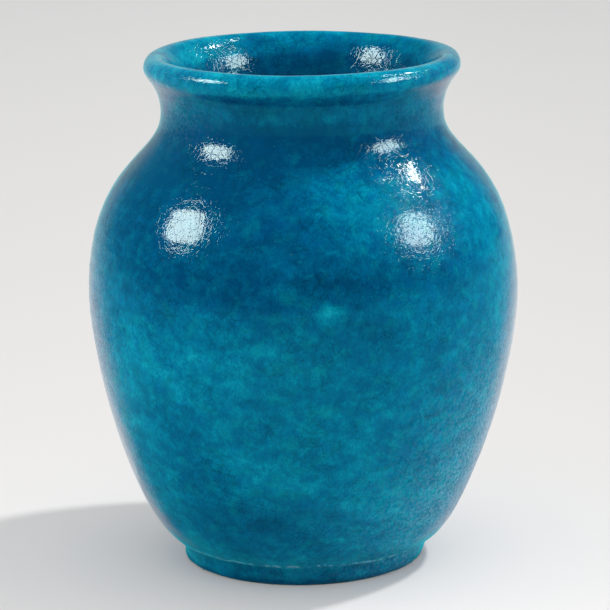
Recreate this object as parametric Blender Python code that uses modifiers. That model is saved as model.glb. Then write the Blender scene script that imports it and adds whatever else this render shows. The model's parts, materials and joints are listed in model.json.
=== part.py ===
"""A turned faience vase: a thrown clay body, a luted foot ring and three coats of glaze.

Lengths are in metres and +Z is up. The origin is the centre of the face that the vase stands on.
Every piece is turned about the Z axis, so a point of an outline is a Vector of radius and height.
"""

import math
from dataclasses import dataclass

import bpy
from mathutils import Vector

# Heights of the outline's stretches, stacked from the standing face to the top of the lip
FOOT_HEIGHT = 0.0100
BELLY_RISE = 0.1180
SHOULDER_RISE = 0.0854
NECK_RISE = 0.0266

# Radii of the glazed outside, and how far one stretch stands out past another
STANDING_RADIUS = 0.0560
FOOT_FLARE = 0.0030
BELLY_RADIUS = 0.1006
NECK_RADIUS = 0.0655
LIP_OVERHANG = 0.0078
LIP_THICKNESS = 0.0108

# Thickness of the clay and of the glaze, and the gap between pieces that touch
CLAY_WALL = 0.0065
CLAY_FLOOR = 0.0080
GLAZE_THICKNESS = 0.0008
JOINT_GAP = 0.0003

# Foot ring and the recess inside it
RING_WIDTH = 0.0070
RING_EDGE = 0.0006
GLAZE_LINE = 0.0008
RECESS_GLAZE_LINE = 0.0025

# Rounded corners where two stretches meet
FOOT_CORNER = 0.0020
FLOOR_CORNER_WIDTH = 0.0140
FLOOR_CORNER_RISE = 0.0060
RECESS_CORNER = 0.0015

# Directions of the outline, from the horizontal
HIP_SLOPE = math.radians(25.0)
LIP_TURN = math.radians(39.0)

# Reach of each curve's handle, as a share of the rise of its own stretch
HIP_REACH = 0.184
LOWER_BELLY_REACH = 0.283
SHOULDER_REACH = 0.733
LOWER_NECK_REACH = 0.267
UPPER_NECK_REACH = 0.30
LIP_REACH = 0.42

# Facets round the axis, and along each stretch of the outline
TURN_STEPS = 36
CORNER_STEPS = 3
BELLY_STEPS = 8
SHOULDER_STEPS = 9
NECK_STEPS = 4
LIP_STEPS = 8

AXIS_WELD = 1e-5
SHARP_ANGLE = math.radians(35.0)

# Levels and radii that follow from the driving sizes
BELLY_LEVEL = FOOT_HEIGHT + BELLY_RISE
NECK_LEVEL = BELLY_LEVEL + SHOULDER_RISE
TOP_LEVEL = NECK_LEVEL + NECK_RISE
FOOT_RADIUS = STANDING_RADIUS + FOOT_FLARE
LIP_ROLL = LIP_THICKNESS / 2
LIP_CENTRE = Vector((NECK_RADIUS + LIP_OVERHANG - LIP_ROLL, TOP_LEVEL - LIP_ROLL))
COAT = GLAZE_THICKNESS + JOINT_GAP
GLAZED_WALL = CLAY_WALL + 2 * COAT
BODY_BASE = FOOT_HEIGHT + JOINT_GAP / 2
RING_TOP = FOOT_HEIGHT - JOINT_GAP / 2
FLOOR_LEVEL = BODY_BASE + CLAY_FLOOR + COAT
RECESS_RADIUS = STANDING_RADIUS - COAT - RING_WIDTH


@dataclass(frozen=True)
class Finish:
    """The plain colour and gloss of one material."""

    name: str
    colour: tuple
    roughness: float
    metallic: float = 0.0


TURQUOISE_GLAZE = Finish("turquoise_crackle_glaze", (0.004, 0.150, 0.260, 1.0), 0.12)
BUFF_CLAY = Finish("buff_faience_clay", (0.560, 0.410, 0.270, 1.0), 0.85)


@dataclass(frozen=True)
class Station:
    """A point of the outline, with the unit normal that faces away from the clay."""

    point: Vector
    normal: Vector


def direction(angle):
    """The unit vector at this angle from the horizontal."""
    return Vector((math.cos(angle), math.sin(angle)))


def facing(tangent):
    """The normal on the right of a tangent: outward on the way up, towards the axis on the way down."""
    return Vector((tangent.y, -tangent.x)).normalized()


def curve(start, start_handle, end_handle, end, steps):
    """Stations along a cubic Bezier curve, both ends included."""
    stations = []
    for step in range(steps + 1):
        t = step / steps
        s = 1 - t
        point = s**3 * start + 3 * s * s * t * start_handle + 3 * s * t * t * end_handle + t**3 * end
        tangent = (
            s * s * (start_handle - start) + 2 * s * t * (end_handle - start_handle) + t * t * (end - end_handle)
        )
        stations.append(Station(point, facing(tangent)))
    return stations


def rounded_corner(start, corner, end, steps):
    """Stations along the curve that leaves towards the corner and arrives from it."""
    return curve(start, start.lerp(corner, 2 / 3), end.lerp(corner, 2 / 3), end, steps)


def roll(centre, radius, start_angle, end_angle, steps):
    """Stations round part of a circle."""
    stations = []
    for step in range(steps + 1):
        normal = direction(start_angle + (end_angle - start_angle) * step / steps)
        stations.append(Station(centre + radius * normal, normal))
    return stations


def other_side(stations, thickness_at):
    """The far face of a wall, in reverse order. thickness_at gives the wall at each share of the way along."""
    last = len(stations) - 1
    far = []
    for index in range(last, -1, -1):
        near = stations[index]
        far.append(Station(near.point - thickness_at(index / last) * near.normal, -near.normal))
    return far


def even_wall(_share):
    """The wall of belly and shoulder, glaze included."""
    return GLAZED_WALL


def thickening_wall(share):
    """The wall of the neck, which grows smoothly into the thickness of the lip."""
    eased = share * share * (3 - 2 * share)
    return GLAZED_WALL + (LIP_THICKNESS - GLAZED_WALL) * eased


def joined(*stretches):
    """The points of several stretches, without the shared point where one ends and the next begins."""
    points = []
    for stretch in stretches:
        skip = 1 if points else 0
        points.extend(station.point for station in stretch[skip:])
    return points


def crossing(below, above, level):
    """The point at this height on the straight line through two points."""
    return below.lerp(above, (level - below.y) / (above.y - below.y))


def from_level(points, level):
    """The outline from where it first rises past this height."""
    for index in range(1, len(points)):
        if points[index].y > level:
            return [crossing(points[index - 1], points[index], level)] + points[index:]
    raise ValueError("the outline never reaches this height")


def up_to_level(points, level):
    """The outline up to where it first rises past this height."""
    for index in range(1, len(points)):
        if points[index].y > level:
            return points[:index] + [crossing(points[index - 1], points[index], level)]
    raise ValueError("the outline never reaches this height")


def down_to_level(points, level):
    """A falling outline up to where it first sinks past this height."""
    for index in range(1, len(points)):
        if points[index].y < level:
            return points[:index] + [crossing(points[index], points[index - 1], level)]
    raise ValueError("the outline never sinks to this height")


def beneath(points, depth):
    """The outline moved into the clay, so that each facet keeps this distance from its own copy."""
    moved = []
    for index, point in enumerate(points):
        before = facing(point - points[index - 1]) if index > 0 else None
        after = facing(points[index + 1] - point) if index < len(points) - 1 else None
        first = before or after
        second = after or before
        middle = (first + second).normalized()
        moved.append(point - middle * (depth / middle.dot(first)))
    return moved


def foot_stretch():
    """The foot's wall, started below the floor so that any coat of it can be cut at its own height."""
    foot_corner = Vector((FOOT_RADIUS, FOOT_HEIGHT))
    wall = (foot_corner - Vector((STANDING_RADIUS, 0.0))).normalized()
    start = foot_corner - wall * (FOOT_HEIGHT + 2 * COAT) / wall.y
    wall_end = foot_corner - wall * FOOT_CORNER
    hip_start = foot_corner + direction(HIP_SLOPE) * FOOT_CORNER
    return [Station(start, facing(wall))] + rounded_corner(wall_end, foot_corner, hip_start, CORNER_STEPS)


def belly_stretch():
    """The outside from the foot's corner to the widest level."""
    start = Vector((FOOT_RADIUS, FOOT_HEIGHT)) + direction(HIP_SLOPE) * FOOT_CORNER
    end = Vector((BELLY_RADIUS, BELLY_LEVEL))
    start_handle = start + direction(HIP_SLOPE) * HIP_REACH * BELLY_RISE
    end_handle = end - Vector((0.0, LOWER_BELLY_REACH * BELLY_RISE))
    return curve(start, start_handle, end_handle, end, BELLY_STEPS)


def shoulder_stretch():
    """The outside from the widest level, over the shoulder, to the narrowest level of the neck."""
    start = Vector((BELLY_RADIUS, BELLY_LEVEL))
    end = Vector((NECK_RADIUS, NECK_LEVEL))
    start_handle = start + Vector((0.0, SHOULDER_REACH * SHOULDER_RISE))
    end_handle = end - Vector((0.0, LOWER_NECK_REACH * SHOULDER_RISE))
    return curve(start, start_handle, end_handle, end, SHOULDER_STEPS)


def neck_stretch():
    """The outside from the narrowest level to where the lip's roll begins."""
    start = Vector((NECK_RADIUS, NECK_LEVEL))
    end = LIP_CENTRE + LIP_ROLL * direction(-LIP_TURN)
    length = (end - start).length
    start_handle = start + Vector((0.0, UPPER_NECK_REACH * length))
    end_handle = end - direction(math.pi / 2 - LIP_TURN) * LIP_REACH * length
    return curve(start, start_handle, end_handle, end, NECK_STEPS)


def outside_outline():
    """The glazed surface from below the standing face, up the outside, over the lip and down to the throat."""
    neck = neck_stretch()
    lip = roll(LIP_CENTRE, LIP_ROLL, -LIP_TURN, math.pi - LIP_TURN, LIP_STEPS)
    throat = other_side(neck, thickening_wall)
    return joined(foot_stretch(), belly_stretch(), shoulder_stretch(), neck, lip, throat)


def inside_outline():
    """The glazed surface from the throat, down the inside wall and across the floor to the axis."""
    shoulder = other_side(shoulder_stretch(), even_wall)
    belly = other_side(belly_stretch(), even_wall)
    wall = down_to_level(joined(shoulder, belly), FLOOR_LEVEL + FLOOR_CORNER_RISE)
    last = wall[-1]
    slope = (last - wall[-2]).normalized()
    corner = last + slope * (FLOOR_CORNER_RISE / -slope.y)
    floor_edge = corner - Vector((FLOOR_CORNER_WIDTH, 0.0))
    bend = rounded_corner(last, corner, floor_edge, CORNER_STEPS)
    return wall + joined(bend)[1:] + [Vector((0.0, FLOOR_LEVEL))]


def cut_short(points, length):
    """The outline with this much taken off its last facet."""
    last_facet = points[-1] - points[-2]
    return points[:-1] + [points[-1] - last_facet.normalized() * length]


def skin(surface, thickness):
    """The closed profile of a coat that ends in an edge at both ends."""
    return surface + beneath(surface, thickness)[::-1]


def turned(name, profile, finish, closed, collection):
    """Turns a profile, whose outer side runs down, about the Z axis into one smooth solid."""
    edges = [(index, index + 1) for index in range(len(profile) - 1)]
    if closed:
        edges.append((len(profile) - 1, 0))
    template = bpy.data.meshes.new(name + "_profile")
    template.from_pydata([(point.x, 0.0, point.y) for point in profile], edges, [])
    piece = bpy.data.objects.new(name, template)
    collection.objects.link(piece)
    screw = piece.modifiers.new("turn", "SCREW")
    screw.axis = "Z"
    screw.angle = math.tau
    screw.steps = TURN_STEPS
    screw.render_steps = TURN_STEPS
    screw.use_merge_vertices = True
    screw.merge_threshold = AXIS_WELD
    evaluated = piece.evaluated_get(bpy.context.evaluated_depsgraph_get())
    mesh = bpy.data.meshes.new_from_object(evaluated)
    mesh.name = name
    mesh.shade_smooth()
    mesh.set_sharp_from_angle(angle=SHARP_ANGLE)
    mesh.materials.append(material_of(finish))
    piece.modifiers.remove(screw)
    piece.data = mesh
    bpy.data.meshes.remove(template)
    return piece


def material_of(finish):
    """The material for a finish, made once."""
    material = bpy.data.materials.get(finish.name)
    if material:
        return material
    material = bpy.data.materials.new(finish.name)
    material.use_nodes = True
    shader = material.node_tree.nodes["Principled BSDF"]
    shader.inputs["Base Color"].default_value = finish.colour
    shader.inputs["Roughness"].default_value = finish.roughness
    shader.inputs["Metallic"].default_value = finish.metallic
    return material


def faience_body(collection):
    """The thrown vessel: the glazed surface less its coats, closed by a flat base."""
    clay = beneath(outside_outline() + inside_outline()[1:], COAT)
    wall = from_level(clay, BODY_BASE)
    profile = wall[::-1] + [Vector((0.0, BODY_BASE))]
    return turned("faience_body", profile, BUFF_CLAY, False, collection)


def foot_ring(collection):
    """The ring luted under the body, with broken edges where it stands."""
    clay = up_to_level(beneath(outside_outline(), COAT), RING_TOP)
    outer_wall = from_level(clay, RING_EDGE)
    standing_edge = crossing(clay[0], clay[1], 0.0).x - RING_EDGE
    profile = outer_wall[::-1] + [
        Vector((standing_edge, 0.0)),
        Vector((RECESS_RADIUS + RING_EDGE, 0.0)),
        Vector((RECESS_RADIUS, RING_EDGE)),
        Vector((RECESS_RADIUS, RING_TOP)),
    ]
    return turned("foot_ring", profile, BUFF_CLAY, True, collection)


def outer_glaze(collection):
    """The coat from just above the standing face, over the lip and down to the throat."""
    surface = from_level(outside_outline(), GLAZE_LINE)
    surface = cut_short(surface, JOINT_GAP)
    return turned("outer_glaze", skin(surface, GLAZE_THICKNESS)[::-1], TURQUOISE_GLAZE, True, collection)


def lining_glaze(collection):
    """The poured coat from the throat down to the middle of the floor."""
    surface = inside_outline()
    profile = surface[::-1] + beneath(surface, GLAZE_THICKNESS)
    return turned("lining_glaze", profile, TURQUOISE_GLAZE, False, collection)


def base_glaze(collection):
    """The coat on the recess: across the base and part of the way down the ring's inner wall."""
    ceiling = BODY_BASE - COAT
    wall = RECESS_RADIUS - COAT
    edge = Vector((wall, RECESS_GLAZE_LINE))
    bend_start = Vector((wall, ceiling - RECESS_CORNER))
    bend_end = Vector((wall - RECESS_CORNER, ceiling))
    bend = rounded_corner(bend_start, Vector((wall, ceiling)), bend_end, CORNER_STEPS)
    surface = [Vector((0.0, ceiling))] + joined(bend)[::-1] + [edge]
    profile = beneath(surface, GLAZE_THICKNESS) + surface[::-1]
    return turned("base_glaze", profile, TURQUOISE_GLAZE, False, collection)


def build_vase():
    """Makes the five pieces in their own collection."""
    for leftover in list(bpy.data.objects):
        bpy.data.objects.remove(leftover, do_unlink=True)
    collection = bpy.data.collections.new("faience_vase")
    bpy.context.scene.collection.children.link(collection)
    for make_piece in (faience_body, foot_ring, outer_glaze, lining_glaze, base_glaze):
        make_piece(collection)


build_vase()
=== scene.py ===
"""The looks of a turned faience vase under turquoise crackle glaze.

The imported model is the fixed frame. Each of its turned pieces is read back as an outline, and a finer skin is
turned from that outline, with the swells, throwing lines and pools that hand and kiln leave on such a pot.
Lengths are in metres, +Z is up, and the camera looks along +Y from azimuth 0. Azimuths grow towards +X. Only the
nodes of the pot's finishes read places in millimetres.
"""

import json
import logging
import math
from dataclasses import dataclass
from enum import Enum
from typing import Optional, Union

import bmesh
import bpy
import numpy as np
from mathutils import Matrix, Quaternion, Vector, noise

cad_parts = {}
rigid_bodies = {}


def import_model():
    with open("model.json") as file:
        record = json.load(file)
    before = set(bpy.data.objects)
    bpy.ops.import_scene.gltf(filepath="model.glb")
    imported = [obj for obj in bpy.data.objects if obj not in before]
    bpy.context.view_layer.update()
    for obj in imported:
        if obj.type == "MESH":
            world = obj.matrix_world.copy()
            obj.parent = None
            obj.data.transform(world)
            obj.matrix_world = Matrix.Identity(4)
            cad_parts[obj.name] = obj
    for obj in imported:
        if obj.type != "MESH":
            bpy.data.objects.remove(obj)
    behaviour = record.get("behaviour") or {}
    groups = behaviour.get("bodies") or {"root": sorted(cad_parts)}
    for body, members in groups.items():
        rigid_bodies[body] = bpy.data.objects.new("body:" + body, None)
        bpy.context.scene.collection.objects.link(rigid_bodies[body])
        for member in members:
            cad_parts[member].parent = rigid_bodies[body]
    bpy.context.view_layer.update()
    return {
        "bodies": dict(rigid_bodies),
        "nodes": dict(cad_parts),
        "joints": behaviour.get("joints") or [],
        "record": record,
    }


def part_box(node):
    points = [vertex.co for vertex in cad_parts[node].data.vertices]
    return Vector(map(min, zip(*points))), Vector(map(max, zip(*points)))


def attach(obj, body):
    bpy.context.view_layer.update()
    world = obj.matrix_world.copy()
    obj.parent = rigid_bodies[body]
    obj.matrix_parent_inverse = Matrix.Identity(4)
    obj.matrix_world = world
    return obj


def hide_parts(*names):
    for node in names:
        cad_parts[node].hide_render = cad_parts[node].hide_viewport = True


LOG = logging.getLogger("vase")
BODY = "root"
MM = 0.001
LEAN = 0.011

Colour = tuple[float, float, float, float]
Place = tuple[float, float, float]
Pairs = tuple[tuple[float, float], ...]
Rows = tuple[tuple[float, ...], ...]
Socket = bpy.types.NodeSocket


class Slot(Enum):
    """The record's material slots."""

    CLAY = "clay"
    GLAZE = "glaze"


class Node(Enum):
    """The frame's nodes, which the pieces stand for."""

    BODY = "faience_body"
    FOOT_RING = "foot_ring"
    OUTER_GLAZE = "outer_glaze"
    LINING_GLAZE = "lining_glaze"
    BASE_GLAZE = "base_glaze"


def eased(value: np.ndarray, start: float, end: float) -> np.ndarray:
    """The share, at each value, of a smooth rise from 0 at start to 1 at end."""
    share = np.clip((value - start) / (end - start), 0.0, 1.0)
    return share * share * (3.0 - 2.0 * share)


def compass(azimuth: float, elevation: float) -> Vector:
    """The unit vector to an azimuth and elevation in degrees, with azimuth 0 towards the camera."""
    turn, rise = math.radians(azimuth), math.radians(elevation)
    return Vector((math.sin(turn) * math.cos(rise), -math.cos(turn) * math.cos(rise), math.sin(rise)))


def placed(name: str, data: bpy.types.ID) -> bpy.types.Object:
    """Puts something in the scene.

    Args:
        name: The name of its object.
        data: A mesh, a lamp or a camera.

    Returns:
        The object.
    """
    holder = bpy.data.objects.new(name, data)
    bpy.context.scene.collection.objects.link(holder)
    return holder


class Outline:
    """A run of outline points, as radius and height, that reads as one smooth line."""

    SEAM_WIDTH = 1e-6
    ROUNDING = 6
    CORNER = math.radians(38.0)
    FLAT_RATIO = 8.0

    def __init__(self, points: np.ndarray) -> None:
        """Keeps the points of the run, an array of n rows of radius and height."""
        self.points = points

    @classmethod
    def of_node(cls, frame: dict, node: Node) -> "Outline":
        """Reads the outline that a node was turned from, off its seam in the half plane y = 0.

        Args:
            frame: The loaded frame.
            node: One of its nodes, all of which were turned about the Z axis.

        Returns:
            The whole outline in order. It comes back to its first point, or has a flat face on the axis at both
            ends, and is then drawn on to the axis.
        """
        mesh = frame["nodes"][node.value].data
        places = np.empty(len(mesh.vertices) * 3)
        mesh.vertices.foreach_get("co", places)
        places = places.reshape(-1, 3)
        seam = (np.abs(places[:, 1]) < cls.SEAM_WIDTH) & (places[:, 0] > -cls.SEAM_WIDTH)
        keys = [(round(float(x), cls.ROUNDING), round(float(z), cls.ROUNDING)) for x, _, z in places]
        links: dict[tuple[float, float], list[tuple[float, float]]] = {}
        for edge in mesh.edges:
            one, other = edge.vertices
            if seam[one] and seam[other] and keys[one] != keys[other]:
                links.setdefault(keys[one], []).append(keys[other])
                links.setdefault(keys[other], []).append(keys[one])
        ends = [key for key in links if len(set(links[key])) == 1]
        start = min(ends or links, key=lambda key: (key[1], -key[0]))
        order = [start]
        while True:
            onward = [key for key in links[order[-1]] if key not in order[-2:]]
            if not onward or onward[0] == start:
                break
            order.append(onward[0])
        order = [(0.0, order[0][1]), *order, (0.0, order[-1][1])] if ends else [*order, start]
        return cls(np.array(order))

    def runs(self) -> list["Outline"]:
        """Cuts the outline at its corners.

        Returns:
            The smooth runs between the corners.
        """
        angles = np.arctan2(*np.diff(self.points, axis=0).T[::-1])
        turns = np.abs((np.diff(angles) + math.pi) % math.tau - math.pi)
        corners = [0, *(np.nonzero(turns > self.CORNER)[0] + 1), len(self.points) - 1]
        return [Outline(self.points[a : b + 1]) for a, b in zip(corners, corners[1:])]

    def chords(self) -> np.ndarray:
        """The distance from each point to the next."""
        return np.linalg.norm(np.diff(self.points, axis=0), axis=1)

    def along(self) -> np.ndarray:
        """The distance from the first point to each point."""
        return np.concatenate(([0.0], np.cumsum(self.chords())))

    def clearance(self, points: np.ndarray) -> float:
        """The mean distance from the line's points to the nearest of other points."""
        return float(np.linalg.norm(self.points[:, None] - points[None], axis=2).min(axis=1).mean())

    def reverse(self) -> "Outline":
        """The same line from its other end."""
        return Outline(self.points[::-1])

    def smooth(self, spacings: Pairs) -> "Outline":
        """Draws a finer line, which curves where the points are close and stays straight across a flat face.

        Args:
            spacings: Pairs of a height and the step to use from that height up, lowest first.

        Returns:
            The finer line, with the same two ends.
        """
        chords = self.chords()
        grows = chords[1:] > self.FLAT_RATIO * chords[:-1]
        shrinks = chords[:-1] > self.FLAT_RATIO * chords[1:]
        cuts = [0, *(np.nonzero(grows | shrinks)[0] + 1), len(chords)]
        parts = [Outline(self.points[a : b + 1]).spline(spacings).points for a, b in zip(cuts, cuts[1:])]
        return Outline(np.vstack([part[:-1] for part in parts] + [parts[-1][-1:]]))

    def spline(self, spacings: Pairs) -> "Outline":
        """Draws a natural cubic spline through the points and walks along it in small steps.

        Args:
            spacings: As for smooth.

        Returns:
            The finer line, with the same two ends.
        """
        chords, knots = self.chords(), self.along()
        count = len(knots)
        matrix, wanted = np.eye(count), np.zeros((count, 2))
        slopes = np.diff(self.points, axis=0) / chords[:, None]
        for row in range(1, count - 1):
            matrix[row, row - 1 : row + 2] = chords[row - 1], 2 * (chords[row - 1] + chords[row]), chords[row]
            wanted[row] = 6 * (slopes[row] - slopes[row - 1])
        bends = np.linalg.solve(matrix, wanted)
        at = [0.0]
        while at[-1] < knots[-1]:
            height = np.interp(at[-1], knots, self.points[:, 1])
            at.append(at[-1] + [step for level, step in spacings if height >= level][-1])
        places = np.array(at) * knots[-1] / at[-1]
        span = np.clip(np.searchsorted(knots, places, side="right") - 1, 0, count - 2)
        h = chords[span][:, None]
        a = (knots[span + 1] - places)[:, None] / h
        b = 1.0 - a
        line = a * self.points[span] + b * self.points[span + 1]
        line += ((a**3 - a) * bends[span] + (b**3 - b) * bends[span + 1]) * h**2 / 6
        return Outline(line)

    def normals(self) -> np.ndarray:
        """The unit normals on the right of the line, outward where it runs up."""
        tangents = np.gradient(self.points, axis=0)
        return np.column_stack((tangents[:, 1], -tangents[:, 0])) / np.linalg.norm(tangents, axis=1)[:, None]

    def trimmed(self, start: float, end: float) -> "Outline":
        """Takes a length off both ends.

        Args:
            start: The length to take off the start.
            end: The length to take off the end.

        Returns:
            The shorter line.
        """
        along = self.along()
        kept = (along > start) & (along < along[-1] - end)
        cuts = np.array([start, along[-1] - end])
        ends = np.column_stack([np.interp(cuts, along, self.points[:, axis]) for axis in (0, 1)])
        return Outline(np.vstack((ends[:1], self.points[kept], ends[1:])))


@dataclass(frozen=True)
class Swell:
    """A layer of soft rises and hollows.

    width is the distance from one rise to the next, height how far the highest stand out, and seed keeps one
    layer unlike another.
    """

    width: float
    height: float
    seed: float

    def at(self, place: Vector) -> float:
        """How far the surface stands out at a place."""
        return self.height * noise.noise(place / self.width + Vector((self.seed, 0.0, 0.0)))


@dataclass(frozen=True)
class ThrowingLines:
    """The shallow spiral that the fingers leave on a thrown wall.

    pitch is the distance from one line to the next and height how far they stand out. They wander by wander, and
    fade and return, over a distance of about reach.
    """

    pitch: float
    height: float
    wander: float
    reach: float

    MEAN_STRENGTH = 0.5
    STRENGTH_OFFSET = Vector((0.0, 7.3, 0.0))

    def at(self, place: Vector, along: float, turn: float) -> float:
        """How far the surface stands out.

        Args:
            place: The point on the surface.
            along: The distance along the outline.
            turn: The angle about the axis, in radians.

        Returns:
            The height of the spiral there, in metres.
        """
        drift = self.wander * noise.noise(place / self.reach)
        strength = self.MEAN_STRENGTH + noise.noise(place / (2 * self.reach) + self.STRENGTH_OFFSET)
        return self.height * strength * math.sin(math.tau * (along + drift) / self.pitch + turn)


@dataclass(frozen=True)
class HandMark:
    """A broad mark that a hand left in the wet clay.

    azimuth and height place it, reach is how far it spreads, and depth is negative for a dent.
    """

    azimuth: float
    height: float
    reach: float
    depth: float

    def at(self, place: Vector, radius: float) -> float:
        """How far the surface stands out at a place, with the mark at a radius from the axis."""
        middle = compass(self.azimuth, 0.0) * radius + Vector((0.0, 0.0, self.height))
        return self.depth * math.exp(-(((place - middle).length / self.reach) ** 2))


@dataclass(frozen=True)
class JointLine:
    """The seam where the foot ring was luted on, under the glaze.

    groove and bead are how deep the groove is and how far the bead over it stands out, and bead_rise is how far
    over the groove it runs. harmonics are the waves by which the seam wanders round the pot, each as its count,
    height and phase.
    """

    groove: float = 0.30 * MM
    bead: float = 0.22 * MM
    groove_width: float = 0.9 * MM
    bead_rise: float = 1.5 * MM
    harmonics: tuple[tuple[int, float, float], ...] = (
        (2, 0.45 * MM, 0.4),
        (5, 0.30 * MM, 2.1),
        (11, 0.18 * MM, 4.4),
    )

    REACH_IN_RISES = 6

    def at(self, above: float, turn: float) -> float:
        """How far the surface stands out near the seam.

        Args:
            above: The height above the seam's mean level.
            turn: The angle about the axis, in radians.

        Returns:
            A groove on the seam and a bead just over it, in metres.
        """
        wander = sum(height * math.sin(count * turn + phase) for count, height, phase in self.harmonics)
        offset = above - wander
        groove = math.exp(-((offset / self.groove_width) ** 2))
        bead = math.exp(-(((offset - self.bead_rise) / self.groove_width) ** 2))
        return self.bead * bead - self.groove * groove


class Number:
    """A number that a node tree works out. Arithmetic with it adds Math nodes to the tree."""

    def __init__(self, bench: "Bench", socket: Socket) -> None:
        """Keeps the bench, and the socket that gives the number."""
        self.bench = bench
        self.socket = socket

    def __add__(self, other: "Source") -> "Number":
        """The sum."""
        return self.bench.calc("ADD", self, other)

    def __sub__(self, other: "Source") -> "Number":
        """The difference."""
        return self.bench.calc("SUBTRACT", self, other)

    def __mul__(self, other: "Source") -> "Number":
        """The product."""
        return self.bench.calc("MULTIPLY", self, other)

    __radd__ = __add__
    __rmul__ = __mul__


Source = Union[Number, Socket, Vector, float, tuple]


@dataclass(frozen=True)
class Ramp:
    """A smooth step, from low at start to high at end."""

    start: float
    end: float
    low: float = 0.0
    high: float = 1.0


@dataclass(frozen=True)
class Cloud:
    """Soft noise between 0 and 1.

    width is the distance from one patch to the next, in millimetres, detail how many finer layers there are,
    roughness how strong they are, and offset keeps one cloud from repeating another. ramp says how it is read.
    flow above 1 lays its patches flat, and below 1 draws them out upwards.
    """

    width: float
    detail: float = 2.0
    roughness: float = 0.5
    offset: Place = (0.0, 0.0, 0.0)
    ramp: Optional[Ramp] = None
    flow: float = 1.0


class Bench:
    """Lays out the nodes of one material or world and links them."""

    NOISE_MEAN = (0.5, 0.5, 0.5)

    def __init__(self, tree: bpy.types.NodeTree) -> None:
        """Starts from the nodes that the tree already has."""
        self.tree = tree

    def add(self, kind: str, inputs: Optional[dict[str, Source]] = None, **settings: object) -> bpy.types.Node:
        """Adds a node.

        Args:
            kind: The node's type.
            inputs: What goes into its sockets, by the sockets' names.
            **settings: The node's own properties.

        Returns:
            The node.
        """
        node = self.tree.nodes.new(kind)
        for name, value in settings.items():
            setattr(node, name, value)
        self.feed_all(node, inputs or {})
        return node

    def feed_all(self, node: bpy.types.Node, inputs: dict[str, Source]) -> None:
        """Feeds a node's sockets, by their names."""
        for name, source in inputs.items():
            self.feed(node.inputs[name], source)

    def read(self, kind: str, output: str, inputs: dict[str, Source], **settings: object) -> Number:
        """The number that one output of a new node gives."""
        return Number(self, self.add(kind, inputs, **settings).outputs[output])

    def feed(self, socket: Socket, source: Source) -> None:
        """Links a number or another node's output to a socket, or sets the socket to a plain value.

        Args:
            socket: The socket.
            source: What goes into it.
        """
        source = source.socket if isinstance(source, Number) else source
        if isinstance(source, Socket):
            self.tree.links.new(source, socket)
        else:
            socket.default_value = source

    def calc(self, operation: str, first: Source, second: Source = 0.0, clamp: bool = False) -> Number:
        """Works out a number.

        Args:
            operation: The Math node's operation.
            first: The first number.
            second: The second number, where the operation has one.
            clamp: True keeps the result between 0 and 1.

        Returns:
            The result.
        """
        node = self.add("ShaderNodeMath", operation=operation, use_clamp=clamp)
        self.feed(node.inputs[0], first)
        self.feed(node.inputs[1], second)
        return Number(self, node.outputs[0])

    def vector(self, operation: str, first: Source, second: Source, output: str = "Vector") -> Socket:
        """Works on vectors.

        Args:
            operation: The Vector Math node's operation.
            first: The first vector.
            second: The second vector, or the scale for SCALE.
            output: "Vector", or "Value" for a number.

        Returns:
            The result.
        """
        node = self.add("ShaderNodeVectorMath", operation=operation)
        self.feed(node.inputs[0], first)
        self.feed(node.inputs["Scale"] if operation == "SCALE" else node.inputs[1], second)
        return node.outputs[output]

    def measure(self, operation: str, first: Source, second: Source = (0.0, 0.0, 0.0)) -> Number:
        """The number that an operation gives for one or two vectors."""
        return Number(self, self.vector(operation, first, second, "Value"))

    def split(self, place: Source) -> list[Number]:
        """The X, Y and Z of a place."""
        return [Number(self, socket) for socket in self.add("ShaderNodeSeparateXYZ", {"Vector": place}).outputs]

    def ramp(self, value: Source, ramp: Ramp) -> Number:
        """The height of a ramp at a number."""
        limits = {"From Min": ramp.start, "From Max": ramp.end, "To Min": ramp.low, "To Max": ramp.high}
        return self.read("ShaderNodeMapRange", "Result", {"Value": value, **limits}, interpolation_type="SMOOTHSTEP")

    def blend(self, share: Source, first: Source, second: Source) -> Socket:
        """Mixes two colours.

        Args:
            share: How much of the second colour there is.
            first: The first colour.
            second: The second colour.

        Returns:
            The colour.
        """
        node = self.add("ShaderNodeMix", data_type="RGBA")
        colours = [socket for socket in node.inputs if socket.type == "RGBA"]
        for socket, source in zip((node.inputs[0], *colours), (share, first, second)):
            self.feed(socket, source)
        return next(socket for socket in node.outputs if socket.type == "RGBA")

    def pushed(self, place: Source, width: float, push: float) -> Socket:
        """The place pushed about by noise of a width, so that what is drawn there gets uneven edges."""
        drift = self.add("ShaderNodeTexNoise", {"Vector": place, "Scale": 1.0 / width}).outputs["Color"]
        return self.vector("ADD", place, self.vector("SCALE", self.vector("SUBTRACT", drift, self.NOISE_MEAN), push))

    def cells(self, place: Source, width: float, **settings: object) -> bpy.types.NodeOutputs:
        """The outputs of a pattern of uneven cells of a width."""
        return self.add("ShaderNodeTexVoronoi", {"Vector": place, "Scale": 1.0 / width}, **settings).outputs

    def mirrored(self, plain: Source, shown: Source) -> Socket:
        """One colour where it is seen and lights, and another where the glaze mirrors it."""
        return self.blend(self.add("ShaderNodeLightPath").outputs["Is Glossy Ray"], plain, shown)


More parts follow.
